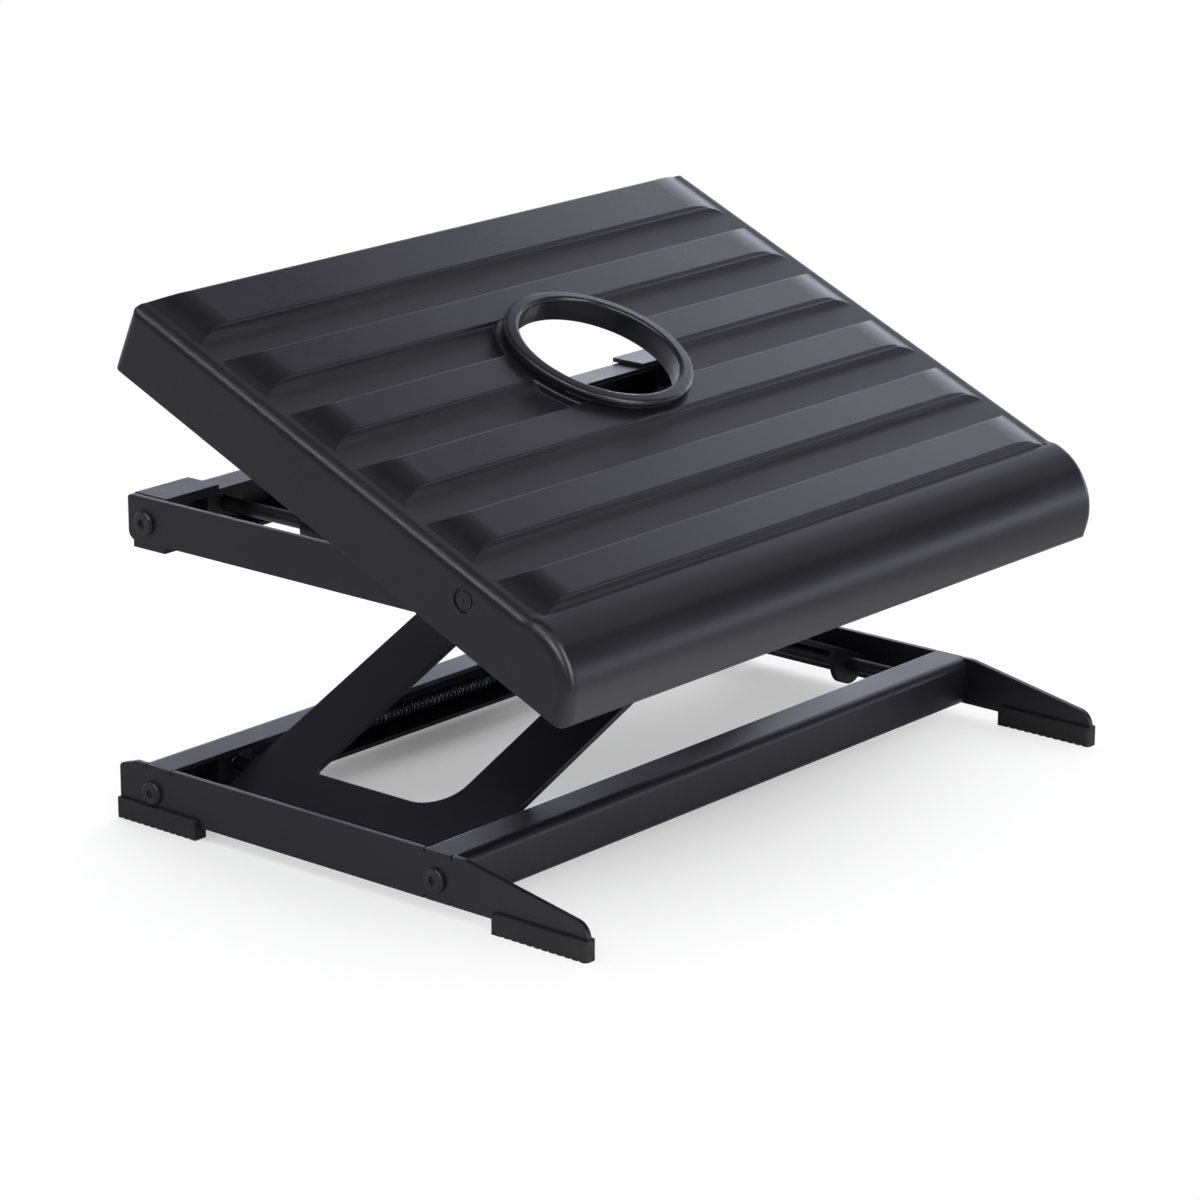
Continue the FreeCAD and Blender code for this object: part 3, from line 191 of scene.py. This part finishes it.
class Finish(Tree):
    """A material of its own name, with the object's coordinates at hand."""

    def __init__(self, name):
        self.material = bpy.data.materials.new(name)
        super().__init__(self.material)
        self.place = self.add("ShaderNodeTexCoord").outputs["Object"]

    def edge_mask(self, radius):
        """1 on sharp outer edges and 0 on flats, and the normal of edges rounded by the radius."""
        bevel = self.add("ShaderNodeBevel", {"Radius": radius}, samples=EDGE_SAMPLES)
        rounded = bevel.outputs["Normal"]
        flat = self.add("ShaderNodeNewGeometry").outputs["Normal"]
        lean = self.remainder(self.compared("DOT_PRODUCT", rounded, flat))
        return self.ranged(lean, EDGE_LEAN, WHOLE), rounded

    def bump(self, height, strength, distance, normal=None):
        inputs = {"Height": height, "Strength": strength, "Distance": distance}
        if normal is not None:
            inputs["Normal"] = normal
        return self.add("ShaderNodeBump", inputs).outputs["Normal"]

    def surface(self, shader):
        self.add("ShaderNodeOutputMaterial", {"Surface": shader.outputs[0]})
        return self.material

    def principled(self, base, rough, normal, metallic=0.0):
        return self.surface(self.add("ShaderNodeBsdfPrincipled", {
            "Base Color": base, "Roughness": rough, "Normal": normal,
            "Metallic": metallic, "IOR": SKIN_IOR,
        }))


def rgb(red, green, blue):
    return (red, green, blue, 1.0)


BLACK = rgb(0, 0, 0)
WHITE = rgb(1, 1, 1)
COOL_WHITE = rgb(0.94, 0.93, 1.14)


# Finishes

def recess_share(finish):
    """0 on the foot plate's recessed skin, 1 above and below it."""
    level = finish.compared("DOT_PRODUCT", finish.place, PLATE_NORMAL)
    above = finish.ranged(level, (RECESS_LEVEL + SKIN_START, RECESS_LEVEL + SKIN_END), WHOLE)
    below = finish.ranged(level, (RECESS_LEVEL - SKIN_END, RECESS_LEVEL - SKIN_START), FALLING)
    return finish.larger(above, below)


def moulded_plastic():
    """Dark grey moulded plastic: fine even grain, faint flow clouds, rubbed edges.

    The recesses between the lands are rougher than the lands, which soles polish.
    """
    dark = rgb(0.0050, 0.0050, 0.0070)
    pale = rgb(0.0068, 0.0068, 0.0092)
    speck = rgb(0.0100, 0.0100, 0.0125)
    rubbed = rgb(0.016, 0.016, 0.019)
    finish = Finish("moulded_plastic")
    clouds = finish.noise(finish.place, scale=9.0, detail=3.0, roughness=0.55)
    grain = finish.noise(finish.place, scale=1500.0, detail=2.0, roughness=0.6)
    coarse = finish.noise(finish.place, scale=520.0, detail=2.0, roughness=0.5)
    specks = finish.ranged(grain, NOISE_TIGHT, WHOLE)
    edge, rounded = finish.edge_mask(radius=0.0012)
    base = finish.mixed(finish.ranged(clouds, NOISE_WIDE, WHOLE), dark, pale)
    base = finish.layered(base, speck, mask=specks, strength=0.25)
    base = finish.layered(base, rubbed, mask=edge, strength=0.30)
    rough = finish.plus(finish.ranged(clouds, NOISE_WIDE, (0.26, 0.31)), finish.times(specks, 0.05))
    rough = finish.plus(rough, finish.ranged(recess_share(finish), WHOLE, (0.16, 0.0)))
    height = finish.plus(finish.times(grain, 0.6), finish.times(coarse, 0.4))
    normal = finish.bump(height, strength=0.35, distance=0.00025, normal=rounded)
    return finish.principled(base, rough, normal)


def powder_coat():
    """Dark powder coat: shallow orange peel, fine grain of the powder, paler worn edges."""
    dark = rgb(0.0046, 0.0041, 0.0068)
    pale = rgb(0.0064, 0.0058, 0.0090)
    worn_through = rgb(0.050, 0.050, 0.054)
    finish = Finish("powder_coat")
    peel = finish.noise(finish.place, scale=420.0, detail=1.5, roughness=0.45)
    powder = finish.noise(finish.place, scale=2600.0, detail=1.0, roughness=0.5)
    clouds = finish.noise(finish.place, scale=14.0, detail=3.0, roughness=0.5)
    wear = finish.noise(finish.place, scale=160.0, detail=3.0, roughness=0.6)
    edge, rounded = finish.edge_mask(radius=0.0007)
    worn = finish.times(edge, finish.ranged(wear, (0.42, 0.62), (0.15, 1.0)))
    base = finish.mixed(finish.ranged(clouds, NOISE_WIDE, WHOLE), dark, pale)
    base = finish.layered(base, worn_through, mask=worn, strength=0.5)
    rough = finish.plus(finish.ranged(clouds, NOISE_WIDE, (0.30, 0.37)), finish.times(powder, 0.06))
    height = finish.plus(finish.times(peel, 0.75), finish.times(powder, 0.25))
    normal = finish.bump(height, strength=0.22, distance=0.0003, normal=rounded)
    return finish.principled(base, rough, normal)


def blackened_steel():
    """Oil-blackened steel fasteners: blotches, a fine skin and rubbed rims."""
    dark = rgb(0.022, 0.022, 0.024)
    pale = rgb(0.036, 0.036, 0.039)
    rubbed = rgb(0.12, 0.12, 0.125)
    finish = Finish("blackened_steel")
    blotch = finish.noise(finish.place, scale=260.0, detail=3.0, roughness=0.6)
    skin = finish.noise(finish.place, scale=1900.0, detail=2.0, roughness=0.5)
    edge, rounded = finish.edge_mask(radius=0.0005)
    base = finish.mixed(finish.ranged(blotch, NOISE_TIGHT, WHOLE), dark, pale)
    base = finish.layered(base, rubbed, mask=edge, strength=0.6)
    rough = finish.ranged(blotch, NOISE_WIDE, (0.28, 0.42))
    normal = finish.bump(skin, strength=0.12, distance=0.0001, normal=rounded)
    return finish.principled(base, rough, normal, metallic=0.55)


def blackened_rod():
    """Blackened drawn rod: long fine lines along it and a thin film of oil."""
    dark = rgb(0.030, 0.030, 0.033)
    oily = rgb(0.055, 0.055, 0.060)
    finish = Finish("blackened_rod")
    along = finish.stretched(finish.place, scale=(2400.0, 60.0, 2400.0))
    lines = finish.noise(along, scale=1.0, detail=2.0, roughness=0.6)
    film = finish.noise(finish.place, scale=55.0, detail=3.0, roughness=0.6)
    base = finish.mixed(finish.ranged(film, NOISE_TIGHT, WHOLE), dark, oily)
    rough = finish.plus(finish.ranged(film, NOISE_WIDE, (0.26, 0.36)), finish.times(lines, 0.10))
    normal = finish.bump(lines, strength=0.10, distance=0.0001)
    return finish.principled(base, rough, normal, metallic=0.7)


def spring_wire():
    """Bluish spring wire with darker heat patches."""
    heated = rgb(0.090, 0.115, 0.150)
    plain = rgb(0.190, 0.215, 0.255)
    finish = Finish("spring_wire")
    patch = finish.noise(finish.place, scale=210.0, detail=3.0, roughness=0.6)
    skin = finish.noise(finish.place, scale=3200.0, detail=1.0, roughness=0.5)
    base = finish.mixed(finish.ranged(patch, NOISE_TIGHT, WHOLE), heated, plain)
    rough = finish.ranged(patch, NOISE_WIDE, (0.24, 0.38))
    normal = finish.bump(skin, strength=0.10, distance=0.00005)
    return finish.principled(base, rough, normal, metallic=1.0)


def soft_rubber():
    """Matt black rubber with a fine skin and a trace of dust."""
    black = rgb(0.0085, 0.0085, 0.0090)
    dusty = rgb(0.0210, 0.0205, 0.0200)
    rubbed = rgb(0.024, 0.024, 0.025)
    finish = Finish("soft_rubber")
    skin = finish.noise(finish.place, scale=900.0, detail=3.0, roughness=0.65)
    dust = finish.noise(finish.place, scale=60.0, detail=4.0, roughness=0.65)
    edge, rounded = finish.edge_mask(radius=0.0008)
    base = finish.mixed(finish.ranged(dust, (0.48, 0.72), (0.0, 0.35)), black, dusty)
    base = finish.layered(base, rubbed, mask=edge, strength=0.4)
    rough = finish.ranged(skin, NOISE_WIDE, (0.62, 0.80))
    normal = finish.bump(skin, strength=0.30, distance=0.0002, normal=rounded)
    return finish.principled(base, rough, normal)


def slide_plastic():
    """Dark waxy plastic of the slide blocks and washers, burnished where it rubs."""
    dull = rgb(0.016, 0.016, 0.017)
    burnished = rgb(0.026, 0.026, 0.027)
    rubbed = rgb(0.045, 0.045, 0.046)
    finish = Finish("slide_plastic")
    skin = finish.noise(finish.place, scale=700.0, detail=2.0, roughness=0.5)
    along = finish.stretched(finish.place, scale=(30.0, 400.0, 400.0))
    streaks = finish.noise(along, scale=1.0, detail=3.0, roughness=0.6)
    rub = finish.ranged(streaks, (0.45, 0.65), WHOLE)
    edge, rounded = finish.edge_mask(radius=0.0008)
    base = finish.mixed(rub, dull, burnished)
    base = finish.layered(base, rubbed, mask=edge, strength=0.4)
    rough = finish.ranged(rub, WHOLE, (0.50, 0.34))
    normal = finish.bump(skin, strength=0.18, distance=0.0002, normal=rounded)
    return finish.principled(base, rough, normal)


# Finishes of the carried-over nodes, by the record's material slots

finish_of_slot = {
    "frame_paint": powder_coat(),
    "black_steel": blackened_steel(),
    "rod_steel": blackened_rod(),
    "spring_steel": spring_wire(),
    "rubber": soft_rubber(),
    "slider_plastic": slide_plastic(),
    "plate_plastic": moulded_plastic(),
}
for part in frame["record"]["subparts"]:
    thing = nodes[part["node"]]
    thing.data.materials.clear()
    thing.data.materials.append(finish_of_slot[part["material_slot"]])


# Stage

def pale_floor():
    """Pale floor with the object's shadow, which turns white to the camera away from the object.

    Reflections see a painted pool of light in front of the object, the floor's colour dimmed away
    from it, and a painted white glow at the far right.
    """
    grey = rgb(0.86, 0.86, 0.86)
    pale = rgb(0.88, 0.88, 0.88)
    finish = Finish("pale_floor")
    path = finish.add("ShaderNodeLightPath")
    glossy = path.outputs["Is Glossy Ray"]
    clouds = finish.noise(finish.place, scale=3.0, detail=3.0, roughness=0.5)
    base = finish.mixed(finish.ranged(clouds, NOISE_WIDE, WHOLE), grey, pale)

    def around(centre, reach, values):
        return finish.ranged(finish.compared("DISTANCE", finish.place, centre), reach, values)

    # Painted pool of light: to reflections the floor's colour is kept in front of the object and
    # dimmed away from it
    painted_pool_share = finish.larger(around(*PAINTED_POOL), finish.remainder(glossy))
    base = finish.mixed(painted_pool_share, BLACK, base)
    lit = finish.add("ShaderNodeBsdfPrincipled", {
        "Base Color": base, "Roughness": FLOOR_ROUGHNESS,
    })
    white = finish.add("ShaderNodeEmission", {"Color": WHITE, "Strength": 1.0})
    seen_share = finish.times(path.outputs["Is Camera Ray"], around(*CLEARING))
    # Painted reflection: reflections see the floor glow white at the far right, where no lamp
    # stands
    painted_glow_share = finish.times(glossy, around(*PAINTED_GLOW))
    mix = finish.add("ShaderNodeMixShader")
    finish.feed(mix.inputs[0], finish.plus(seen_share, painted_glow_share))
    finish.feed(mix.inputs[1], lit.outputs[0])
    finish.feed(mix.inputs[2], white.outputs[0])
    return finish.surface(mix)


def stage_floor():
    mesh = bpy.data.meshes.new("floor")
    corners = [(-1, -1), (1, -1), (1, 1), (-1, 1)]
    mesh.from_pydata([(x * FLOOR_REACH, y * FLOOR_REACH, 0) for x, y in corners],
                     [], [(0, 1, 2, 3)])
    mesh.materials.append(pale_floor())
    floor = bpy.data.objects.new("floor", mesh)
    bpy.context.scene.collection.objects.link(floor)


class Sky(Tree):
    """The world's tree, with shares of the sky that are 1 where they lie and 0 elsewhere."""

    def __init__(self, world):
        super().__init__(world)
        self.direction = self.add("ShaderNodeTexCoord").outputs["Generated"]
        parts = self.add("ShaderNodeSeparateXYZ", {"Vector": self.direction})
        self.height = parts.outputs["Z"]

    def toward(self, place):
        """How far the direction leans toward a place on the sky, 1 at that place."""
        return self.compared("DOT_PRODUCT", self.direction, Vector(place).normalized())

    def band(self, limits, soft=BAND_SOFTNESS):
        """The sky between two heights, with soft limits."""
        low, high = limits
        rise = self.ranged(self.height, (low - soft / 2, low + soft / 2), WHOLE)
        fall = self.ranged(self.height, (high - soft / 2, high + soft / 2), FALLING)
        return self.math("MINIMUM", rise, fall)

    def sector(self, place, lean=SECTOR):
        """The sky around one direction of the horizon."""
        return self.ranged(self.toward(place), lean, WHOLE)

    def strip(self, across, middle, end):
        """A narrow strip square to one direction, which fades out at its ends."""
        beside = self.math("ABSOLUTE", self.toward(across))
        return self.times(self.ranged(beside, STRIP_HALF_WIDTH, FALLING),
                          self.ranged(self.toward(middle), (end, end + STRIP_FADE), WHOLE))


def mirrored_sky(sky, strips):
    """What reflections see: soft panels around the horizon and two strips, in a dim sky.

    Each panel is a share of the sky with its strength.
    """
    low = sky.band(LOW_SKY)
    middle = sky.band(MIDDLE_SKY)
    panels = [
        (sky.times(low, sky.sector(BEHIND)), 0.95),
        (sky.times(low, sky.sector(LEFT, HALF_SKY)), 0.30),
        (sky.times(low, sky.sector(RIGHT_FRONT)), 0.10),
        (sky.times(middle, sky.sector(BEHIND)), 0.50),
        (sky.times(middle, sky.sector(RIGHT, NARROW_SECTOR)), 0.15),
        (sky.times(middle, sky.sector(LEFT, HALF_SKY)), 0.12),
        (sky.times(sky.band(HORIZON, HORIZON_SOFTNESS), sky.sector(RIGHT)), 6.5),
        (strips, 20.0),
    ]
    light = sky.ranged(sky.height, SKY_RISE, SKY_STRENGTH)
    for share, strength in panels:
        light = sky.plus(light, sky.times(share, strength))
    return light


def surround():
    """White to the camera, a studio to reflections, and a broad soft light to all else."""
    world = bpy.data.worlds.new("surround")
    bpy.context.scene.world = world
    sky = Sky(world)
    path = sky.add("ShaderNodeLightPath")
    glossy = path.outputs["Is Glossy Ray"]
    seen = sky.larger(path.outputs["Is Camera Ray"], path.outputs["Is Transmission Ray"])
    strips = sky.larger(sky.strip(*STRIPS[0]), sky.strip(*STRIPS[1]))
    soft = sky.times(sky.ranged(sky.height, UPPER_SKY, HEIGHT_STRENGTH),
                     sky.ranged(sky.toward(RIGHT_BEHIND), AWAY_TO_TOWARD, SIDE_STRENGTH))
    light = sky.plus(sky.times(glossy, mirrored_sky(sky, strips)),
                     sky.times(sky.remainder(glossy), soft))
    strength = sky.plus(seen, sky.times(sky.remainder(seen), light))
    cool = sky.times(sky.times(glossy, sky.remainder(strips)), sky.remainder(seen))
    tint = sky.mixed(cool, WHITE, COOL_WHITE)
    back = sky.add("ShaderNodeBackground", {"Color": tint, "Strength": strength})
    sky.add("ShaderNodeOutputWorld", {"Surface": back.outputs[0]})


def side_panel():
    """Large cool lamp at the right, which the camera doesn't see."""
    light = bpy.data.lights.new("side_panel", "AREA")
    light.shape = "RECTANGLE"
    light.size = LAMP_WIDTH
    light.size_y = LAMP_HEIGHT
    light.energy = LAMP_POWER
    light.color = LAMP_COLOUR
    holder = bpy.data.objects.new("side_panel", light)
    bpy.context.scene.collection.objects.link(holder)
    holder.visible_camera = False
    holder.location = LAMP_PLACE
    aim = Vector(LAMP_TARGET) - Vector(LAMP_PLACE)
    holder.rotation_euler = aim.to_track_quat("-Z", "Y").to_euler()


def photo_camera():
    """Camera at the photograph's viewpoint."""
    level = math.cos(CAMERA_ELEVATION)
    back = Vector((math.sin(CAMERA_AZIMUTH) * level, -math.cos(CAMERA_AZIMUTH) * level,
                   math.sin(CAMERA_ELEVATION)))
    right = (-back).cross(Vector((0, 0, 1))).normalized()
    up = right.cross(-back)
    turned_right = right * math.cos(CAMERA_ROLL) + up * math.sin(CAMERA_ROLL)
    turned_up = up * math.cos(CAMERA_ROLL) - right * math.sin(CAMERA_ROLL)
    data = bpy.data.cameras.new("photo_view")
    data.sensor_width = SENSOR_WIDTH
    data.lens = FOCAL_PIXELS / PHOTO_PIXELS * SENSOR_WIDTH
    data.clip_start = NEAR_CLIP
    data.clip_end = FAR_CLIP
    camera = bpy.data.objects.new("photo_view", data)
    bpy.context.scene.collection.objects.link(camera)
    rotation = Matrix((turned_right, turned_up, back)).transposed()
    camera.matrix_world = Matrix.Translation(CAMERA_PLACE) @ rotation.to_4x4()
    bpy.context.scene.camera = camera


stage_floor()
surround()
side_panel()
photo_camera()
bpy.context.scene.view_settings.view_transform = "Standard"

bpy.context.view_layer.update()
